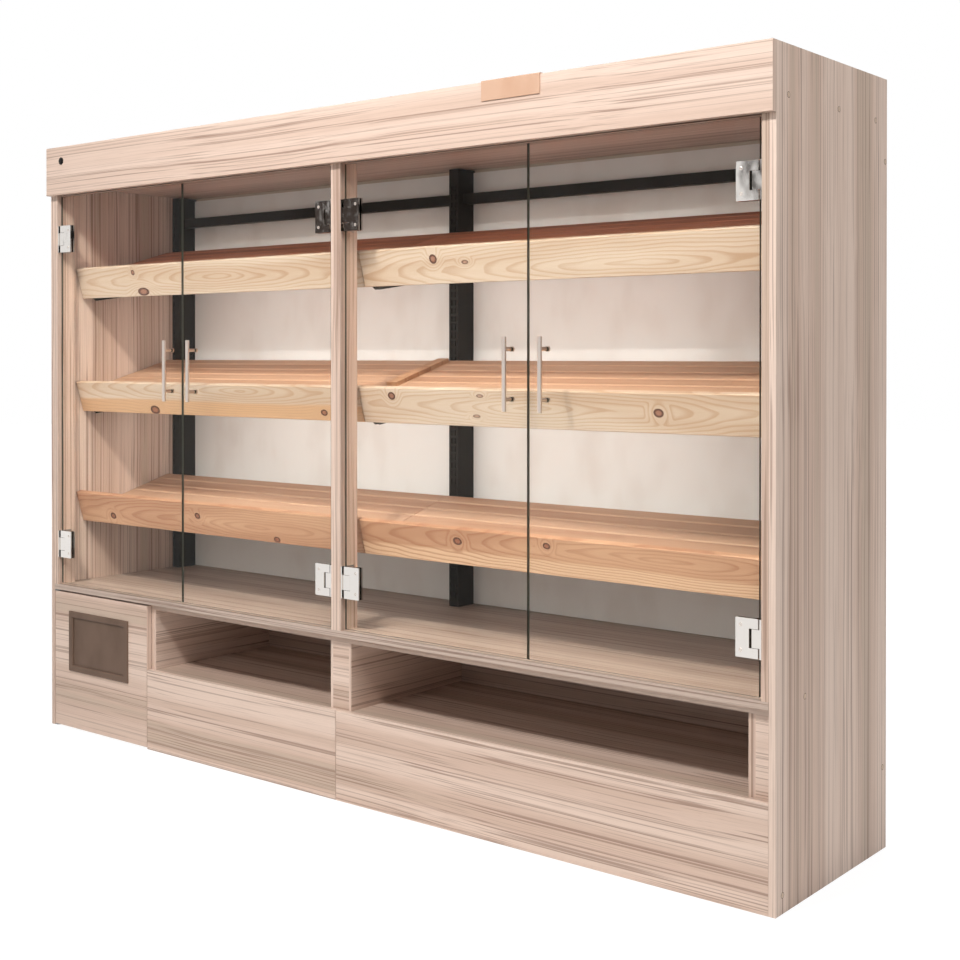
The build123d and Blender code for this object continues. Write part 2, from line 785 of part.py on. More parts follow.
def hinge_clamps(number, wall_x):
    """Two pairs of plates that clamp the glass. The bosses between each pair hold the
    pin on which the door turns, in the bore of the wall plate's knuckle."""
    side = hinge_side(wall_x)
    near = wall_x + side * GLASS_EDGE_GAP
    plate_x = near + side * HINGE_WIDE / 2
    pivot_x = wall_x + side * PIVOT_REACH
    notch_far = pivot_x + side * NOTCH_REACH
    notch_half = KNUCKLE_TALL / 2 + KNUCKLE_GAP
    front_y = GLASS_Y - HINGE_PLATE
    back_y = GLASS_Y + GLASS + HINGE_PLATE
    boss_wide = abs(notch_far - near)
    boss_x = (near + notch_far) / 2
    with BuildPart() as clamps:
        for hinge_z in HINGE_HEIGHTS:
            for start, thick in ((front_y, HINGE_PLATE), (back_y - HINGE_PLATE, HINGE_PLATE)):
                with BuildSketch(FRONT.offset(-start)):
                    with Locations((plate_x, hinge_z)):
                        Rectangle(HINGE_WIDE, HINGE_TALL)
                    with Locations((near, hinge_z)):
                        Rectangle(2 * boss_wide, 2 * notch_half, mode=Mode.SUBTRACT)
                extrude(amount=-thick)
            for up in (-1, 1):
                boss_low = hinge_z + up * notch_half + (BOSS_TALL * (up - 1) / 2)
                block(
                    boss_x - boss_wide / 2,
                    boss_x + boss_wide / 2,
                    GLASS_Y,
                    GLASS_Y + GLASS,
                    boss_low,
                    boss_low + BOSS_TALL,
                )
            with BuildSketch(FLOOR.offset(hinge_z - notch_half)):
                with Locations((pivot_x, PIVOT_Y)):
                    Circle(PIN_RADIUS)
            extrude(amount=2 * notch_half)
    save(clamps.part, f"hinge_clamps_{number}")


def hinge_wall_plates():
    """Plates screwed to the stiles and the post, each with its bored knuckle."""
    with BuildPart() as plates:
        for wall_x in STILE_FACES:
            side = hinge_side(wall_x)
            pivot_x = wall_x + side * PIVOT_REACH
            face_x = wall_x + side * WALL_PLATE
            nose_x = pivot_x + side * KNUCKLE_HALF
            for hinge_z in HINGE_HEIGHTS:
                plate_z = hinge_z - HINGE_TALL / 2
                block(
                    min(wall_x, face_x),
                    max(wall_x, face_x),
                    WALL_PLATE_SET_BACK,
                    WALL_PLATE_SET_BACK + WALL_PLATE_DEPTH,
                    plate_z,
                    plate_z + HINGE_TALL,
                )
                with BuildSketch(FLOOR.offset(hinge_z - KNUCKLE_TALL / 2)):
                    with BuildLine():
                        Polyline(
                            (face_x, PIVOT_Y - KNUCKLE_HALF),
                            (nose_x - side * KNUCKLE_CORNER, PIVOT_Y - KNUCKLE_HALF),
                            (nose_x, PIVOT_Y - KNUCKLE_HALF + KNUCKLE_CORNER),
                            (nose_x, PIVOT_Y + KNUCKLE_HALF - KNUCKLE_CORNER),
                            (nose_x - side * KNUCKLE_CORNER, PIVOT_Y + KNUCKLE_HALF),
                            (face_x, PIVOT_Y + KNUCKLE_HALF),
                            close=True,
                        )
                    make_face()
                    with Locations((pivot_x, PIVOT_Y)):
                        Circle(PIN_RADIUS + PIN_CLEARANCE, mode=Mode.SUBTRACT)
                extrude(amount=KNUCKLE_TALL)
    save(plates.part, "hinge_wall_plates")


side_panels()
carcass()
fascia()
base()
access_door()
uprights()
gondola_sheet()
brackets()
slats()
battens()
front_boards()
joint_batten()
glass_doors()
hinge_wall_plates()
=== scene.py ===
"""Bread display shelf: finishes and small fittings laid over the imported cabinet.

Metres, in the cabinet's own frame: x to the right, y towards the back, z up from the
floor, with the origin under the middle of the cabinet.
"""

import logging
import math
from dataclasses import dataclass, field
from enum import Enum
from typing import Any, Iterable, Sequence, Union

import bmesh
import bpy
from mathutils import Matrix, Vector


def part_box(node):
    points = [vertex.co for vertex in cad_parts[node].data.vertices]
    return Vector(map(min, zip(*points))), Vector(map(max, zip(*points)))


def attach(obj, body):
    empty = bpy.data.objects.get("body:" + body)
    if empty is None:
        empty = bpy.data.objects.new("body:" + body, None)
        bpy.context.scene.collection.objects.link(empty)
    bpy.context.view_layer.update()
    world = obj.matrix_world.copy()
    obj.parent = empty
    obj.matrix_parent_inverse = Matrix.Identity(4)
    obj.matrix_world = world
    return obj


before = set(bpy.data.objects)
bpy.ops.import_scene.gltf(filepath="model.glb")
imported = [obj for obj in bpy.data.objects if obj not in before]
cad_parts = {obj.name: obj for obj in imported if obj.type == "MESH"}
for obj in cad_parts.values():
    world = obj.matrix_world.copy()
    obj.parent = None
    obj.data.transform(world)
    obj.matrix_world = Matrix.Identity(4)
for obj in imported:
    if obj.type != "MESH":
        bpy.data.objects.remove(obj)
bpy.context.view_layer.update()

log = logging.getLogger("bread_shelf")

MM = 0.001
CABINET = "cabinet"
# The shelves and their front boards lean forward by this angle
SLOPE = math.radians(16.5)
# The carcass's front plane lies this far in front of the origin
FRONT_Y = -289 * MM
# A front board's upper edge lies this far behind the front plane
BOARD_SET_BACK = 84 * MM
BOARD_WIDTH = 105 * MM
# The first full plank starts this far behind the front plane
PLANK_SET_BACK = 160 * MM
PLANK_PITCH = 55 * MM
# Planks take another tone at each step of this height, so that the levels differ
LEVEL_STEP = 0.3
# Segments round each turned piece
LATHE_STEPS = 24

Colour = tuple[float, float, float, float]


def tint(red: int, green: int, blue: int) -> Colour:
    """Linear colour of a shade given as it looks on a screen, 0 to 255."""

    def linear(value: int) -> float:
        """One part of the colour, 0 to 1."""
        share = value / 255
        return share / 12.92 if share <= 0.04045 else ((share + 0.055) / 1.055) ** 2.4

    return (linear(red), linear(green), linear(blue), 1.0)


class Grain(Enum):
    """Which way the fibres of a board run."""

    ALONG_X = (1, 0, 0)
    ALONG_Y = (0, 1, 0)
    ALONG_Z = (0, 0, 1)

    def stretch(self, along: float, across: float) -> tuple[float, ...]:
        """Scale of a pattern, in waves per metre along and across the fibres."""
        return tuple(along if part else across for part in self.value)

    def banded(self, tree: "Tree") -> "Wire":
        """Point on a board, turned where an edge band covers the ends of the fibres."""
        point = tree.place()
        ends = tree.node("TexCoord", {}, {}, "Normal")
        axis = self.value.index(1)
        x, y, z = tree.parts(point)
        turned = {0: (z, y, x), 1: (x, z, y), 2: (x, z, y)}[axis]
        on_end = abs(tree.parts(ends)[axis]).math("GREATER_THAN", 0.7)
        values = {0: on_end, 4: point, 5: tree.joined(*turned)}
        return tree.node("Mix", {"data_type": "VECTOR"}, values, 1)


class Wire:
    """A value in a node tree that takes part in Python expressions."""

    def __init__(self, tree: bpy.types.NodeTree, socket: bpy.types.NodeSocket) -> None:
        """Wraps one output socket of a tree."""
        self.tree = tree
        self.socket = socket

    def math(self, operation: str, *others: "Value") -> "Wire":
        """The result of one Math node.

        Args:
            operation: The Math node's operation.
            others: Its second and third values, wires or numbers.

        Returns:
            The node's value.
        """
        node = self.tree.nodes.new("ShaderNodeMath")
        node.operation = operation
        for socket, value in zip(node.inputs, (self, *others)):
            plug(self.tree, socket, value)
        return Wire(self.tree, node.outputs[0])

    def __add__(self, other: "Value") -> "Wire":
        """Sum."""
        return self.math("ADD", other)

    __radd__ = __add__

    def __sub__(self, other: "Value") -> "Wire":
        """Difference."""
        return self.math("SUBTRACT", other)

    def __rsub__(self, other: float) -> "Wire":
        """Difference from a number, as in 1 - mask."""
        return (self * -1.0).math("ADD", other)

    def __mul__(self, other: "Value") -> "Wire":
        """Product."""
        return self.math("MULTIPLY", other)

    __rmul__ = __mul__

    def __truediv__(self, other: "Value") -> "Wire":
        """Quotient."""
        return self.math("DIVIDE", other)

    def __pow__(self, other: "Value") -> "Wire":
        """Power."""
        return self.math("POWER", other)

    def __abs__(self) -> "Wire":
        """Distance from nought."""
        return self.math("ABSOLUTE")

    def fade(self, start: float, end: float) -> "Wire":
        """Goes smoothly from 0 at start to 1 at end, whichever of them is larger."""
        node = self.tree.nodes.new("ShaderNodeMapRange")
        node.interpolation_type = "SMOOTHSTEP"
        low, high = min(start, end), max(start, end)
        rising = (0.0, 1.0) if end >= start else (1.0, 0.0)
        for socket, value in zip(node.inputs, (self, low, high, *rising)):
            plug(self.tree, socket, value)
        return Wire(self.tree, node.outputs[0])


Value = Union[Wire, float, Sequence[float]]


def plug(tree: bpy.types.NodeTree, socket: bpy.types.NodeSocket, value: Value) -> None:
    """Links a wire to a socket, or sets the socket to a plain value."""
    if isinstance(value, Wire):
        tree.links.new(value.socket, socket)
    else:
        socket.default_value = value


class Tree:
    """A node tree under construction."""

    def __init__(self, tree: bpy.types.NodeTree) -> None:
        """Empties the tree."""
        self.tree = tree
        tree.nodes.clear()

    def node(
        self,
        kind: str,
        settings: dict[str, Any],
        values: dict[Union[int, str], Value],
        output: Union[int, str] = 0,
    ) -> Wire:
        """Adds one node.

        Args:
            kind: The node's type without its ShaderNode prefix.
            settings: Its properties, set first. stops are a ramp's places and colours.
            values: Its sockets by name or number, with a value or a wire for each.
            output: The output that is wanted.

        Returns:
            That output.
        """
        made = self.tree.nodes.new("ShaderNode" + kind)
        for key, setting in settings.items():
            if key == "stops":
                ramp = made.color_ramp
                while len(ramp.elements) < len(setting):
                    ramp.elements.new(1.0)
                for element, (place, colour) in zip(ramp.elements, setting):
                    element.position = place
                    element.color = colour
            else:
                setattr(made, key, setting)
        for key, value in values.items():
            plug(self.tree, made.inputs[key], value)
        return Wire(self.tree, made.outputs[output])

    def place(self) -> Wire:
        """The point on the piece in the cabinet's frame at rest."""
        return self.node("TexCoord", {}, {}, "Object")

    def parts(self, vector: Wire) -> tuple[Wire, Wire, Wire]:
        """The three parts of a vector."""
        node = self.tree.nodes.new("ShaderNodeSeparateXYZ")
        plug(self.tree, node.inputs[0], vector)
        return tuple(Wire(self.tree, out) for out in node.outputs)

    def joined(self, x: Value, y: Value, z: Value) -> Wire:
        """A vector from its three parts."""
        return self.node("CombineXYZ", {}, {0: x, 1: y, 2: z})

    def scaled(self, vector: Wire, scale: Sequence[float], shift: Sequence[float]) -> Wire:
        """A vector times scale, plus shift."""
        settings = {"operation": "MULTIPLY_ADD"}
        return self.node("VectorMath", settings, {0: vector, 1: scale, 2: shift})

    def noise(self, vector: Wire, detail: float = 2.0, roughness: float = 0.5) -> Wire:
        """Smooth noise with waves one unit long, about 0 to 1."""
        values = {"Vector": vector, "Scale": 1.0, "Detail": detail, "Roughness": roughness}
        return self.node("TexNoise", {}, values)

    def blend(self, share: Value, first: Value, second: Value, how: str = "MIX") -> Wire:
        """Colour that goes from first to second as share goes from 0 to 1."""
        settings = {"data_type": "RGBA", "blend_type": how}
        return self.node("Mix", settings, {0: share, 6: first, 7: second}, 2)

    def bump(self, height: Wire, depth: float) -> Wire:
        """Normals of a surface with that height, depth metres deep."""
        values = {"Height": height, "Distance": depth, "Strength": 1.0}
        return self.node("Bump", {}, values, "Normal")

    def principled(self, **values: Value) -> Wire:
        """A Principled shader. Words in the names are joined by underscores."""
        named = {key.replace("_", " ").title(): value for key, value in values.items()}
        renamed = {key.replace("Ior", "IOR"): value for key, value in named.items()}
        return self.node("BsdfPrincipled", {}, renamed)

    def show(self, shader: Wire, output: str = "OutputMaterial") -> None:
        """Sends a shader to the tree's output."""
        made = self.tree.nodes.new("ShaderNode" + output)
        plug(self.tree, made.inputs["Surface"], shader)


class Finish:
    """A finish that makes its material once and then hands out the same one."""

    def material(self) -> bpy.types.Material:
        """The finish as a material."""
        name = f"finish_{self.title()}"
        known = bpy.data.materials.get(name)
        if known:
            return known
        made = bpy.data.materials.new(name)
        made.use_nodes = True
        self.fill(Tree(made.node_tree))
        return made

    def title(self) -> str:
        """The material's name."""
        raise NotImplementedError

    def fill(self, tree: Tree) -> None:
        """Builds the nodes."""
        raise NotImplementedError


@dataclass(frozen=True)
class Laminate(Finish):
    """Wood-print melamine: pale, pinkish, with darker streaks along the board.

    shade below 1 darkens the print: on the deck board for its own darker tone, and on the niche
    boards as painted shade inside the niches.
    """

    grain: Grain
    cut: int = 0
    pale: Colour = tint(229, 209, 197)
    warm: Colour = tint(208, 182, 167)
    cool: Colour = tint(196, 182, 166)
    streak: Colour = tint(146, 118, 104)
    shade: float = 1.0

    def title(self) -> str:
        """Name by grain and by the stretch of print that the board is cut from."""
        return f"laminate_{self.grain.name.lower()}_{self.cut}"

    def fill(self, tree: Tree) -> None:
        """Streaks, broad bands and fine pores, all along the grain."""
        start = (self.cut * 3.7, self.cut * 1.9, self.cut * 2.3)
        point = self.grain.banded(tree)
        wander = tree.noise(tree.scaled(point, self.grain.stretch(1.1, 3.0), start), 1.0)
        push = (wander - 0.5) * 0.02
        shift = {0: point, 1: tree.joined(push, push, push)}
        slid = tree.node("VectorMath", {"operation": "ADD"}, shift)
        bands = tree.noise(tree.scaled(slid, self.grain.stretch(0.12, 11.0), start), 2.0)
        streaks = tree.noise(tree.scaled(slid, self.grain.stretch(0.2, 125.0), start), 3.0, 0.6)
        hairs = tree.noise(tree.scaled(slid, self.grain.stretch(0.3, 230.0), start), 2.0)
        fibres = tree.noise(tree.scaled(slid, self.grain.stretch(6.0, 620.0), start), 2.0)
        pores = tree.noise(tree.scaled(slid, self.grain.stretch(18.0, 800.0), start), 1.0)
        ground = tree.blend(bands.fade(0.36, 0.62), self.warm, self.pale)
        ground = tree.blend(bands.fade(0.46, 0.34) * 0.5, ground, self.cool)
        lines = streaks.fade(0.53, 0.65)
        colour = tree.blend(lines * 0.70, ground, self.streak)
        colour = tree.blend(hairs.fade(0.56, 0.70) * 0.55, colour, self.streak)
        colour = tree.blend(fibres.fade(0.40, 0.75) * 0.16, colour, self.streak)
        colour = tree.blend(pores.fade(0.66, 0.80) * 0.25, colour, self.streak)
        # A darker print: the deck board's own tone, and painted shade on the niche boards
        if self.shade != 1.0:
            dark = (self.shade, self.shade, self.shade, 1.0)
            colour = tree.blend(1.0, colour, dark, "MULTIPLY")
        rough = 0.40 + lines * 0.08 + fibres * 0.06
        height = fibres * 0.5 - pores.fade(0.66, 0.80)
        tree.show(
            tree.principled(
                base_color=colour,
                roughness=rough,
                normal=tree.bump(height, 0.00008),
                specular_ior_level=0.42,
            )
        )


@dataclass(frozen=True)
class Knot:
    """A knot in a board.

    x is its place along the cabinet and down its distance below the board's upper edge.
    lengthen stretches it along the grain, and dark is how strongly it shows.
    """

    x: float
    down: float
    radius: float
    lengthen: float = 1.0
    dark: float = 0.8


@dataclass(frozen=True)
class PineBoard(Finish):
    """Flat-sawn pine board, with arched growth rings that part round its knots.

    top is the height of its upper edge. The arches open from arch_x and arch_down, and lower tints
    the board from lower_from below its upper edge; on the bottom right board that lighter lower
    strip is painted light.
    """

    name: str
    top: float
    knots: tuple[Knot, ...]
    arch_x: float
    arch_down: float
    pale: Colour
    ring: Colour
    cut: float = 0.0
    lower: Colour = tint(210, 178, 145)
    lower_from: float = 1.0

    def title(self) -> str:
        """Name by board."""
        return f"pine_{self.name}"

    def fill(self, tree: Tree) -> None:
        """Rings, knots, fine fibres and a slight tint over the width."""
        ring_step = 0.0078
        point = tree.place()
        x, y, z = tree.parts(point)
        front = FRONT_Y + BOARD_SET_BACK
        down = (y - front) * math.sin(SLOPE) - (z - self.top) * math.cos(SLOPE)
        flat = tree.joined(x + self.cut, down, y * 0.4)
        sway = tree.noise(tree.scaled(flat, (2.6, 9.0, 9.0), (0, 0, 0)), 2.0) - 0.5
        ripple = tree.noise(tree.scaled(flat, (9.0, 40.0, 40.0), (0, 0, 0)), 1.0) - 0.5
        depth = abs(x - self.arch_x) * 0.075 + 0.004
        aside = down - self.arch_down
        rings = (depth * depth + aside * aside) ** 0.5 + sway * 0.030 + ripple * 0.004
        core: Value = 0.0
        rim: Value = 0.0
        for knot in self.knots:
            run = (x - knot.x) / knot.lengthen
            drop = down - knot.down
            reach = (run * run + drop * drop) ** 0.5 + ripple * 0.003
            rings = rings + reach.fade(knot.radius * 3.5, knot.radius * 0.6) * 0.02
            inside = reach.fade(knot.radius * 1.10, knot.radius * 0.96)
            edge = inside * reach.fade(knot.radius * 0.40, knot.radius * 0.80)
            core = inside * knot.dark + core
            rim = edge * knot.dark + rim
        turn = (rings / ring_step).math("FRACT")
        late = turn.fade(0.45, 0.9) * turn.fade(1.0, 0.92)
        fibres = tree.noise(tree.scaled(flat, (14.0, 900.0, 900.0), (0, 0, 0)), 2.0)
        tone = tree.noise(tree.scaled(flat, (1.3, 14.0, 14.0), (3.1, 0, 0)), 2.0)
        ground = tree.blend(tone.fade(0.35, 0.68) * 0.45, self.pale, self.ring)
        if self.lower_from < BOARD_WIDTH:
            band = (down + sway * 0.02).fade(self.lower_from - 0.006, self.lower_from + 0.006)
            ground = tree.blend(band, ground, self.lower)
        strength = tone.fade(0.3, 0.7) * 0.35 + 0.38
        colour = tree.blend(late * strength, ground, self.ring)
        colour = tree.blend(fibres.fade(0.45, 0.8) * 0.20, colour, self.ring)
        if self.knots:
            colour = tree.blend(core * 0.95, colour, tint(134, 72, 50))
            colour = tree.blend(rim, colour, tint(52, 24, 16))
        rough = 0.46 + fibres * 0.10 - late * 0.06
        height = late * 0.6 + fibres * 0.4
        tree.show(
            tree.principled(
                base_color=colour,
                roughness=rough,
                normal=tree.bump(height, 0.00012),
                specular_ior_level=0.40,
            )
        )


@dataclass(frozen=True)
class PinePlanks(Finish):
    """Pine laid in planks, each of them cut from another board."""

    name: str
    pale: Colour
    dark: Colour

    def title(self) -> str:
        """Name by where the planks lie."""
        return f"pine_{self.name}"

    def fill(self, tree: Tree) -> None:
        """Straight grain, shifted and toned from one plank to the next, with a painted highlight
        along each plank's front edge and painted shade, with the dark joint, along its back edge.
        """
        x, y, z = tree.parts(tree.place())
        rows = (y - FRONT_Y - PLANK_SET_BACK) / PLANK_PITCH
        row = rows.math("FLOOR")
        across = rows.math("FRACT")
        bay = x.math("GREATER_THAN", 0.0)
        number = row + bay * 9.0
        level = z.math("SNAP", LEVEL_STEP)
        luck = tree.node("TexWhiteNoise", {"noise_dimensions": "1D"}, {"W": number + level})
        flat = tree.joined(x + number * 1.37, y, z + number * 0.31)
        sway = tree.noise(tree.scaled(flat, (2.0, 12.0, 12.0), (0, 0, 0)), 2.0) - 0.5
        rings = ((y + z * 0.7) + sway * 0.035 + x * 0.012) / 0.007
        turn = rings.math("FRACT")
        late = turn.fade(0.2, 0.9) * turn.fade(1.0, 0.9)
        fibres = tree.noise(tree.scaled(flat, (10.0, 700.0, 700.0), (0, 0, 0)), 2.0)
        tone = tree.noise(tree.scaled(flat, (1.4, 20.0, 20.0), (0, 0, 0)), 2.0)
        ground = tree.blend(luck * 0.62 + tone.fade(0.35, 0.7) * 0.3, self.pale, self.dark)
        # Painted highlight along each plank's front edge, then painted shade and the dark joint
        # along its back edge
        ground = tree.blend(across.fade(0.16, 0.02) * 0.75, ground, self.pale)
        ground = tree.blend(across.fade(0.84, 0.96) * 0.7, ground, self.dark)
        colour = tree.blend(late * 0.32, ground, self.dark)
        colour = tree.blend(fibres.fade(0.45, 0.8) * 0.25, colour, self.dark)
        tree.show(
            tree.principled(
                base_color=colour,
                roughness=0.5 + fibres * 0.1,
                normal=tree.bump(late * 0.5 + fibres * 0.5, 0.00012),
                specular_ior_level=0.38,
            )
        )


@dataclass(frozen=True)
class Coating(Finish):
    """Powder coat or moulded plastic: one colour with a fine skin and light soiling."""

    name: str
    colour: Colour
    soiled: Colour
    rough: float = 0.45
    skin: float = 1500.0
    depth: float = 0.000008
    gloss: float = 0.2

    def title(self) -> str:
        """Name by finish."""
        return self.name

    def fill(self, tree: Tree) -> None:
        """Fine skin texture, faint blotches and slightly uneven gloss."""
        point = tree.place()
        skin = tree.noise(tree.scaled(point, (self.skin,) * 3, (0, 0, 0)), 1.0)
        blotch = tree.noise(tree.scaled(point, (9.0, 9.0, 5.0), (0, 0, 0)), 4.0)
        colour = tree.blend(blotch.fade(0.42, 0.72) * 0.8, self.colour, self.soiled)
        tree.show(
            tree.principled(
                base_color=colour,
                roughness=self.rough + blotch * 0.12 - 0.06,
                normal=tree.bump(skin, self.depth),
                specular_ior_level=self.gloss,
            )
        )


@dataclass(frozen=True)
class Metal(Finish):
    """Bare metal, polished or brushed along z. waves is how deep its faces ripple."""

    name: str
    colour: Colour
    rough: float
    brushed: float = 0.0
    waves: float = 0.0

    def title(self) -> str:
        """Name by finish."""
        return self.name

    def fill(self, tree: Tree) -> None:
        """Smudges in the polish, or fine lines where it is brushed."""
        point = tree.place()
        smudge = tree.noise(tree.scaled(point, (60.0, 60.0, 40.0), (0, 0, 0)), 3.0)
        rough = self.rough + smudge.fade(0.4, 0.8) * 0.10
        shader = {"base_color": self.colour, "metallic": 1.0}
        if self.brushed:
            lines = tree.noise(tree.scaled(point, (2600.0, 2600.0, 30.0), (0, 0, 0)), 2.0)
            rough = rough + lines * self.brushed
            shader["normal"] = tree.bump(lines, 0.00002)
        if self.waves:
            swell = tree.noise(tree.scaled(point, (16.0, 16.0, 14.0), (0, 0, 0)), 1.0)
            shader["normal"] = tree.bump(swell, self.waves)
        tree.show(tree.principled(roughness=rough, **shader))


@dataclass(frozen=True)
class Pane(Finish):
    """Clear float glass with a darker ground edge. Lamps shine through it.

    bend is below the 1.52 of real glass, so that the white surroundings lay less haze
    over the dark steel behind the doors.
    """

    colour: Colour = tint(243, 242, 238)
    edge: Colour = tint(62, 64, 56)
    bend: float = 1.14

    def title(self) -> str:
        """Name by finish."""
        return "float_glass"

    def fill(self, tree: Tree) -> None:
        """Clear on the faces, dull on the narrow edges."""
        clear = tree.principled(
            base_color=self.colour,
            roughness=0.0,
            ior=self.bend,
            transmission_weight=1.0,
        )
        speckle = tree.noise(tree.scaled(tree.place(), (600.0,) * 3, (0, 0, 0)), 2.0)
        ground = tree.principled(base_color=self.edge, roughness=speckle * 0.2 + 0.3)
        facing = abs(tree.parts(tree.node("TexCoord", {}, {}, "Normal"))[1])
        body = tree.node("MixShader", {}, {0: facing.math("LESS_THAN", 0.5), 1: clear, 2: ground})
        through = tree.node("BsdfTransparent", {}, {"Color": self.colour})
        lamp = tree.node("LightPath", {}, {}, "Is Shadow Ray")
        tree.show(tree.node("MixShader", {}, {0: lamp, 1: body, 2: through}))


CHROME = Metal("polished_chrome", tint(224, 219, 214), 0.04, waves=0.0005)
BRUSHED = Metal("brushed_stainless", tint(226, 213, 203), 0.26, 0.12)
ZINC = Metal("zinc_steel", tint(150, 150, 150), 0.38, 0.05)
DARK_STEEL = Coating("dark_powder_coat", tint(46, 44, 42), tint(36, 33, 31), 0.5, gloss=0.08)
OFF_WHITE = Coating("off_white_powder_coat", tint(238, 239, 240), tint(228, 226, 225), 0.5)
BROWN_PLASTIC = Coating("brown_plastic", tint(112, 92, 80), tint(98, 80, 69), 0.5, 1400.0)
BLACK_PLASTIC = Coating("black_plastic", tint(26, 25, 25), tint(20, 19, 19), 0.4, 1400.0)
TAB_COAT = Coating("coated_tab", tint(206, 172, 150), tint(198, 160, 136), 0.42)
BACKING = Coating("melamine_backing", tint(206, 194, 180), tint(200, 187, 172), 0.6)
CAP_PLASTIC = Coating("cap_plastic", tint(206, 184, 166), tint(196, 172, 154), 0.5, 1400.0)
SEAM = Coating("cap_seam", tint(92, 74, 64), tint(84, 66, 57), 0.7)
GLASS = Pane()


def dress(node: str, finish: Finish) -> None:
    """Gives a node of the cabinet its finish."""
    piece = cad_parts[node]
    piece.data.materials.clear()
    piece.data.materials.append(finish.material())
    log.info("%s: %s", node, finish.title())


def edge_of(node: str, side: int, axis: int) -> float:
    """Where a node ends: side 0 is its lowest end on that axis, 1 the highest."""
    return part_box(node)[side][axis]


def lathe(
    profile: Sequence[tuple[float, float]],
    spots: Iterable[tuple[Vector, Vector]],
    name: str,
    finish: Finish,
    body: str,
) -> bpy.types.Object:
    """Turns one outline into equal round pieces at several places.

    Args:
        profile: Radius and height of each point, from the rim to the centre.
        spots: Centre of each piece and the way that it faces.
        name: The piece's name.
        finish: Its finish.
        body: The body that it moves with.

    Returns:
        One object that holds all of them.
    """
    mesh = bmesh.new()
    spots = list(spots)
    for centre, facing in spots:
        turn = Vector((0, 0, 1)).rotation_difference(facing).to_matrix().to_4x4()
        place = Matrix.Translation(centre) @ turn
        rings = []
        for radius, height in profile:
            if radius == 0:
                rings.append([mesh.verts.new(place @ Vector((0, 0, height)))])
                continue
            ring = []
            for step in range(LATHE_STEPS):
                angle = 2 * math.pi * step / LATHE_STEPS
                point = Vector((radius * math.cos(angle), radius * math.sin(angle), height))
                ring.append(mesh.verts.new(place @ point))
            rings.append(ring)
        for outer, inner in zip(rings, rings[1:]):
            for step in range(LATHE_STEPS):
                after = (step + 1) % LATHE_STEPS
                if len(inner) == 1:
                    mesh.faces.new((outer[step], outer[after], inner[0]))
                else:
                    mesh.faces.new((outer[step], outer[after], inner[after], inner[step]))
    data = bpy.data.meshes.new(name)
    mesh.to_mesh(data)
    mesh.free()
    data.shade_smooth()
    data.materials.append(finish.material())
    piece = bpy.data.objects.new(name, data)
    bpy.context.scene.collection.objects.link(piece)
    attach(piece, body)
    log.info("%s: %d of them on %s", name, len(spots), body)
    return piece


@dataclass
class Carcass:
    """Side panels, front frame, deck, ceiling, fascia and back."""

    cap_radius: float = 6.5 * MM
    cap_proud: float = 0.4 * MM
    # Distance behind the front and height of each cap on a side panel
    cap_places: tuple[tuple[float, float], ...] = (
        (0.059, 1.836),
        (0.320, 1.838),
        (0.531, 1.838),
        (0.590, 1.741),
        (0.144, 0.468),
        (0.579, 0.208),
        (0.034, 0.042),
    )
    boards: dict[str, Laminate] = field(
        default_factory=lambda: {
            "side_panel_left": Laminate(Grain.ALONG_Z, 1),
            "side_panel_right": Laminate(Grain.ALONG_Z, 2),
            "stile_left": Laminate(Grain.ALONG_Z, 3),
            "stile_right": Laminate(Grain.ALONG_Z, 4),
            "centre_post": Laminate(Grain.ALONG_Z, 5),
            "deck_board": Laminate(Grain.ALONG_X, 1, shade=0.71),
            "ceiling_board": Laminate(Grain.ALONG_X, 2),
            "header_rail": Laminate(Grain.ALONG_X, 3),
            "fascia_board": Laminate(Grain.ALONG_X, 4),
        }
    )

    def dress(self) -> None:
        """Finishes on every board of the case."""
        for node, finish in self.boards.items():
            dress(node, finish)
        dress("back_boards", BACKING)
        dress("fascia_tab", TAB_COAT)
        dress("switch_bezel", BLACK_PLASTIC)
        dress("switch_button", BLACK_PLASTIC)

    def caps(self) -> None:
        """Screw caps on the outer faces, each in a dark seam."""
        seam = [(self.cap_radius + 0.8 * MM, 0.0), (self.cap_radius - 0.4 * MM, 0.15 * MM)]
        dome = [
            (self.cap_radius, 0.0),
            (self.cap_radius - 0.5 * MM, 0.7 * self.cap_proud),
            (self.cap_radius * 0.6, self.cap_proud),
            (0.0, self.cap_proud),
        ]
        for node, side, facing in (("side_panel_left", 0, -1), ("side_panel_right", 1, 1)):
            outer = edge_of(node, side, 0)
            spots = [
                (Vector((outer, FRONT_Y + y, z)), Vector((facing, 0, 0)))
                for y, z in self.cap_places
            ]
            short = node.replace("side_panel_", "")
            lathe(seam, spots, f"cap_seams_{short}", SEAM, CABINET)
            lathe(dome, spots, f"screw_caps_{short}", CAP_PLASTIC, CABINET)


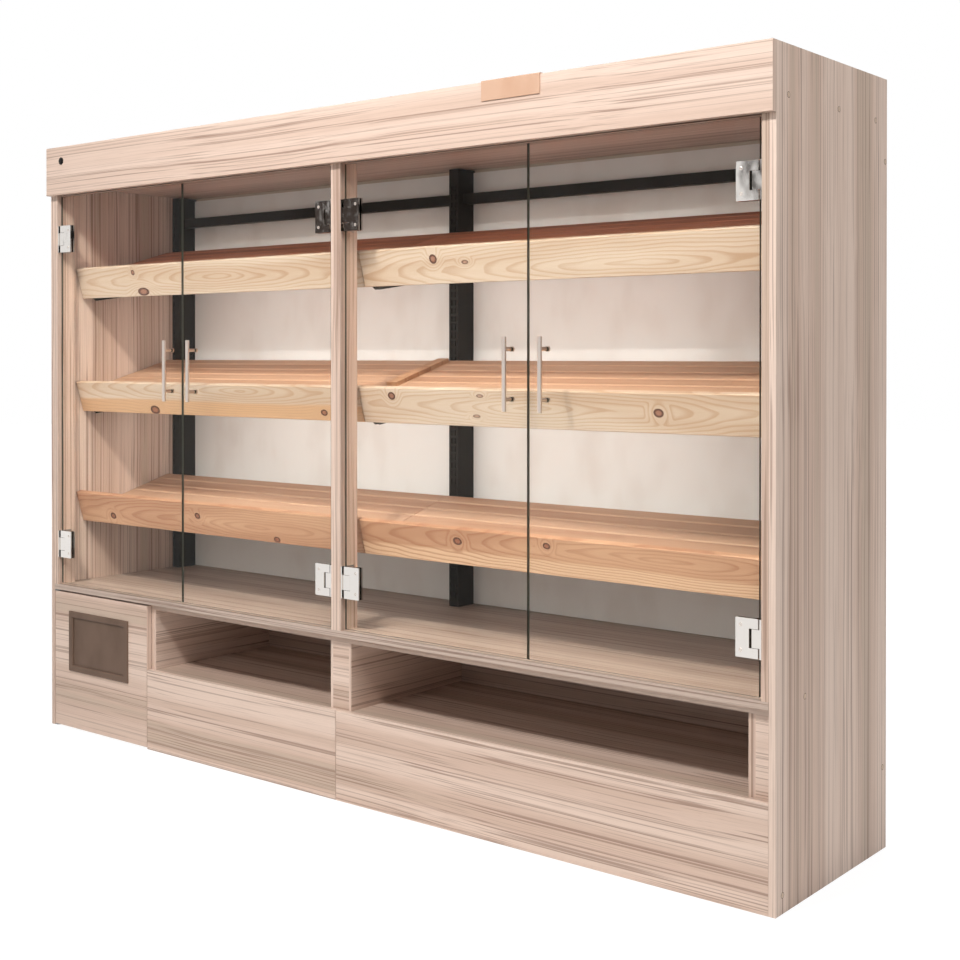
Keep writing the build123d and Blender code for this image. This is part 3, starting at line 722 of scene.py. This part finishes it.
@dataclass
class Base:
    """Aprons, niches and the service door under the deck."""

    boards: dict[str, Laminate] = field(
        default_factory=lambda: {
            "apron_middle": Laminate(Grain.ALONG_X, 5),
            "apron_right": Laminate(Grain.ALONG_X, 6),
            "access_door": Laminate(Grain.ALONG_X, 7),
            "compartment_divider": Laminate(Grain.ALONG_Z, 6),
            "floor_support": Laminate(Grain.ALONG_Z, 7),
            # shade on the niche floor, sub deck and niche backs is painted shade inside the niches
            "niche_floor": Laminate(Grain.ALONG_X, 8, shade=0.85),
            "sub_deck": Laminate(Grain.ALONG_X, 9, shade=0.85),
            "niche_backs": Laminate(Grain.ALONG_X, 10, shade=0.85),
            "niche_walls": Laminate(Grain.ALONG_Y, 1),
            "filler_centre": Laminate(Grain.ALONG_X, 11),
            "filler_right": Laminate(Grain.ALONG_X, 12),
        }
    )

    def dress(self) -> None:
        """Finishes on the boards and on the service door's fittings."""
        for node, finish in self.boards.items():
            dress(node, finish)
        dress("access_bezel", BROWN_PLASTIC)
        dress("access_insert", BROWN_PLASTIC)
        dress("door_catch", BLACK_PLASTIC)
        dress("access_pivot_brackets", ZINC)
        dress("access_pivot_pins", ZINC)


@dataclass
class Gondola:
    """Slotted uprights, beams, shelf arms and folded back panels."""

    dark: tuple[str, ...] = (
        "upright_left",
        "upright_centre",
        "upright_right",
        "cross_beams",
        "shelf_brackets",
    )

    def dress(self) -> None:
        """Dark powder coat on what carries, off-white on the panels."""
        for node in self.dark:
            dress(node, DARK_STEEL)
        dress("steel_back_panels", OFF_WHITE)


@dataclass
class Shelves:
    """Front boards with their knots, planks and battens."""

    pale: Colour = tint(211, 194, 178)
    ring: Colour = tint(178, 144, 114)
    red: Colour = tint(200, 160, 130)
    red_ring: Colour = tint(158, 106, 78)

    def front_boards(self) -> tuple[PineBoard, ...]:
        """The six boards, each with the knots that it shows."""
        top, middle, bottom = 1.547, 1.160, 0.783
        pale, ring, red, red_ring = self.pale, self.ring, self.red, self.red_ring
        return (
            PineBoard(
                "top_left",
                top,
                (Knot(-1.030, 0.023, 0.009), Knot(-0.997, 0.089, 0.013, 2.2)),
                arch_x=-0.62,
                arch_down=0.050,
                pale=pale,
                ring=ring,
            ),
            PineBoard(
                "top_right",
                top,
                (Knot(0.274, 0.034, 0.013, 1.0), Knot(0.384, 0.047, 0.006, 2.0, 0.6)),
                arch_x=0.95,
                arch_down=0.070,
                pale=pale,
                ring=ring,
                cut=2.0,
            ),
            PineBoard(
                "middle_left",
                middle,
                (Knot(-0.938, 0.090, 0.014, 1.6), Knot(-0.157, 0.080, 0.010, 1.4)),
                arch_x=-0.50,
                arch_down=0.020,
                pale=pale,
                ring=ring,
                cut=4.0,
                lower=tint(206, 166, 130),
                lower_from=0.058,
            ),
            PineBoard(
                "middle_right",
                middle,
                (
                    Knot(0.124, 0.023, 0.011, 1.2),
                    Knot(0.992, 0.052, 0.011, 1.3),
                    Knot(0.442, 0.018, 0.005, 2.4, 0.5),
                    Knot(0.419, 0.075, 0.005, 2.4, 0.5),
                ),
                arch_x=0.60,
                arch_down=0.048,
                pale=pale,
                ring=ring,
                cut=6.0,
            ),
            PineBoard(
                "bottom_left",
                bottom,
                (
                    Knot(-1.154, 0.074, 0.011, 1.3),
                    Knot(-0.712, 0.042, 0.010, 1.3),
                    Knot(-0.361, 0.093, 0.009, 1.5),
                ),
                arch_x=-0.42,
                arch_down=0.060,
                pale=red,
                ring=red_ring,
                cut=8.0,
            ),
            PineBoard(
                "bottom_right",
                bottom,
                (Knot(0.361, 0.035, 0.011, 1.4), Knot(0.661, 0.023, 0.009, 1.3)),
                arch_x=1.0,
                arch_down=0.030,
                pale=red,
                ring=red_ring,
                cut=10.0,
                # The lighter lower strip on this board is painted light
                lower=tint(218, 184, 154),
                lower_from=0.064,
            ),
        )

    def dress(self) -> None:
        """Pine on every board and plank."""
        for finish in self.front_boards():
            dress(f"front_board_{finish.name}", finish)
        dress("slats_top", PinePlanks("top_planks", tint(224, 154, 124), tint(156, 92, 68)))
        dress("slats_middle", PinePlanks("middle_planks", tint(202, 168, 142), tint(152, 112, 88)))
        dress("slats_bottom", PinePlanks("bottom_planks", tint(202, 172, 148), tint(150, 112, 90)))
        battens = PinePlanks("battens", tint(196, 158, 124), tint(150, 106, 78))
        dress("shelf_battens", battens)
        dress("joint_batten", battens)


@dataclass
class GlassDoors:
    """Four doors with clamp hinges and bar handles."""

    count: int = 4
    screw_radius: float = 4.2 * MM
    screw_rise: float = 29 * MM
    hinge_heights: tuple[float, float] = (0.6145, 1.6435)

    def dress(self) -> None:
        """Glass, chrome and brushed steel."""
        for number in range(1, self.count + 1):
            dress(f"glass_door_{number}", GLASS)
            dress(f"hinge_clamps_{number}", CHROME)
            dress(f"door_handle_{number}", BRUSHED)
        dress("hinge_wall_plates", CHROME)

    def screws(self) -> None:
        """Domed screw heads with a socket, two on each clamp's inner and outer plates."""
        radius = self.screw_radius
        head = [
            (radius, 0.0),
            (radius * 0.96, 0.25 * MM),
            (radius * 0.8, 0.5 * MM),
            (radius * 0.5, 0.6 * MM),
            (radius * 0.46, -0.2 * MM),
            (0.0, -0.2 * MM),
        ]
        for number in range(1, self.count + 1):
            low, high = (Vector(corner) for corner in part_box(f"hinge_clamps_{number}"))
            hinge_side = 1 if number % 2 else -1
            inner = high.x if hinge_side > 0 else low.x
            x = inner - hinge_side * 13 * MM
            spots = []
            for height in self.hinge_heights:
                for rise in (-self.screw_rise, self.screw_rise):
                    spots.append((Vector((x, low.y, height + rise)), Vector((0, -1, 0))))
                    spots.append((Vector((x, high.y, height + rise)), Vector((0, 1, 0))))
            lathe(head, spots, f"clamp_screws_{number}", BRUSHED, f"door_{number}")


@dataclass
class Studio:
    """Pale floor and backdrop, soft lamps, and the camera."""

    floor_size: float = 40.0
    camera_place: tuple[float, float, float] = (2.8443, -3.1822, 1.2492)
    camera_turn: float = 0.6781
    camera_tilt: float = -0.0064
    lens: float = 53.96
    shift_up: float = -0.1195
    soft_light: float = 0.17
    dim: Colour = tint(70, 62, 58)
    floor_glow: float = 1.1
    # Share of the floor that glows near the cabinet, and the ring where that becomes all
    glow_share: float = 0.86
    glow_ring: tuple[float, float] = (3.0, 7.0)
    strip_x: float = -0.08
    strip_width: float = 2.0
    # Each strip's name, height and watts
    strips: tuple[tuple[str, float, float], ...] = (("top", 1.435, 2.7), ("middle", 1.045, 3.8))

    def world(self) -> None:
        """Plain soft light from all round, shown white.

        Mirrored rays also meet dim patches, which stand in for the room that polished
        metal would show.
        """
        world = bpy.data.worlds.new("studio")
        bpy.context.scene.world = world
        world.use_nodes = True
        tree = Tree(world.node_tree)
        pale = {"Color": tint(250, 248, 246), "Strength": self.soft_light}
        soft = tree.node("Background", {}, pale)
        ways = tree.node("TexCoord", {}, {}, "Generated")
        patches = tree.noise(tree.scaled(ways, (6.0, 6.0, 11.0), (0.4, 0, 0)), 1.0)
        room = patches.fade(0.50, 0.56)
        glossy = tree.node("LightPath", {}, {}, "Is Glossy Ray")
        through = tree.node("LightPath", {}, {}, "Is Transmission Ray")
        mirrored = room * glossy * (1 - through)
        shown = tree.blend(mirrored, (1, 1, 1, 1), self.dim)
        white = tree.node("Background", {}, {"Color": shown, "Strength": 1.0})
        seen = self.seen(tree)
        tree.show(tree.node("MixShader", {}, {0: seen, 1: soft, 2: white}), "OutputWorld")

    @staticmethod
    def seen(tree: Tree) -> Wire:
        """1 for rays that show the background: from the camera, gloss and glass."""
        paths = ("Is Camera Ray", "Is Glossy Ray", "Is Transmission Ray")
        rays = [tree.node("LightPath", {}, {}, path) for path in paths]
        return rays[0].math("MAXIMUM", rays[1]).math("MAXIMUM", rays[2])

    def floor(self) -> None:
        """A pale floor that keeps the cabinet's shadow."""
        mesh = bmesh.new()
        bmesh.ops.create_grid(mesh, x_segments=8, y_segments=8, size=self.floor_size / 2)
        data = bpy.data.meshes.new("floor")
        mesh.to_mesh(data)
        mesh.free()
        material = bpy.data.materials.new("pale_floor")
        material.use_nodes = True
        tree = Tree(material.node_tree)
        matt = tree.principled(base_color=tint(236, 234, 231), roughness=0.9)
        glow = tree.node("Emission", {}, {"Color": (1, 1, 1, 1), "Strength": self.floor_glow})
        reach = tree.node("VectorMath", {"operation": "LENGTH"}, {0: tree.place()}, "Value")
        far = reach.fade(*self.glow_ring)
        share = self.seen(tree) * (far * (1 - self.glow_share) + self.glow_share)
        tree.show(tree.node("MixShader", {}, {0: share, 1: matt, 2: glow}))
        data.materials.append(material)
        piece = bpy.data.objects.new("floor", data)
        piece.location.z = -1 * MM
        bpy.context.scene.collection.objects.link(piece)

    @staticmethod
    def lamp(
        name: str,
        place: Sequence[float],
        aim: Sequence[float],
        size: float,
        power: float,
        mirrored: bool = True,
        wide: float = 0.0,
    ) -> None:
        """Adds one area lamp that faces a point.

        Args:
            name: Its name.
            place: Where it stands.
            aim: The point that it faces.
            size: Its height, and its width where wide isn't given.
            power: Watts.
            mirrored: Whether gloss and glass show it.
            wide: Its width along x.
        """
        data = bpy.data.lights.new(name, "AREA")
        data.shape = "RECTANGLE"
        data.size = wide or size
        data.size_y = size
        data.energy = power
        data.color = tint(255, 250, 244)[:3]
        piece = bpy.data.objects.new(name, data)
        piece.location = place
        piece.rotation_euler = (Vector(aim) - Vector(place)).to_track_quat("-Z", "Y").to_euler()
        piece.visible_glossy = mirrored
        piece.visible_camera = mirrored
        bpy.context.scene.collection.objects.link(piece)

    def lamps(self) -> None:
        """A key from above the front, fills for every side, and strips under two shelves."""
        self.lamp("key", (0.5, -3.1, 4.5), (-0.2, 0, 0.8), 0.4, 182.0)
        self.lamp("fill", (-0.9, -6.0, 3.2), (-0.2, 0, 1.2), 2.0, 42.0, False)
        self.lamp("end", (5.0, -1.2, 4.2), (1.3, 0, 1.9), 1.8, 98.0, False)
        self.lamp("rear", (-0.6, 5.0, 3.2), (0, 0.3, 1.0), 2.4, 170.0, False)
        for level, height, power in self.strips:
            place = (self.strip_x, FRONT_Y + 0.155, height)
            aim = (self.strip_x, FRONT_Y + 0.58, height - 0.17)
            self.lamp(f"strip_{level}", place, aim, 0.03, power, False, self.strip_width)

    def camera(self) -> None:
        """The camera at the photograph's viewing angle."""
        data = bpy.data.cameras.new("camera")
        data.sensor_width = 36.0
        data.lens = self.lens
        data.shift_y = self.shift_up
        data.clip_start = 0.05
        piece = bpy.data.objects.new("camera", data)
        piece.location = self.camera_place
        piece.rotation_euler = (math.pi / 2 + self.camera_tilt, 0.0, self.camera_turn)
        bpy.context.scene.collection.objects.link(piece)
        bpy.context.scene.camera = piece


def main() -> None:
    """Builds the looks in order."""
    logging.basicConfig(level=logging.INFO, format="%(name)s %(message)s")
    bpy.context.scene.view_settings.view_transform = "Standard"
    studio = Studio()
    studio.camera()
    studio.world()
    studio.floor()
    studio.lamps()
    carcass = Carcass()
    carcass.dress()
    carcass.caps()
    Base().dress()
    Gondola().dress()
    Shelves().dress()
    doors = GlassDoors()
    doors.dress()
    doors.screws()


if __name__ == "__main__":
    main()
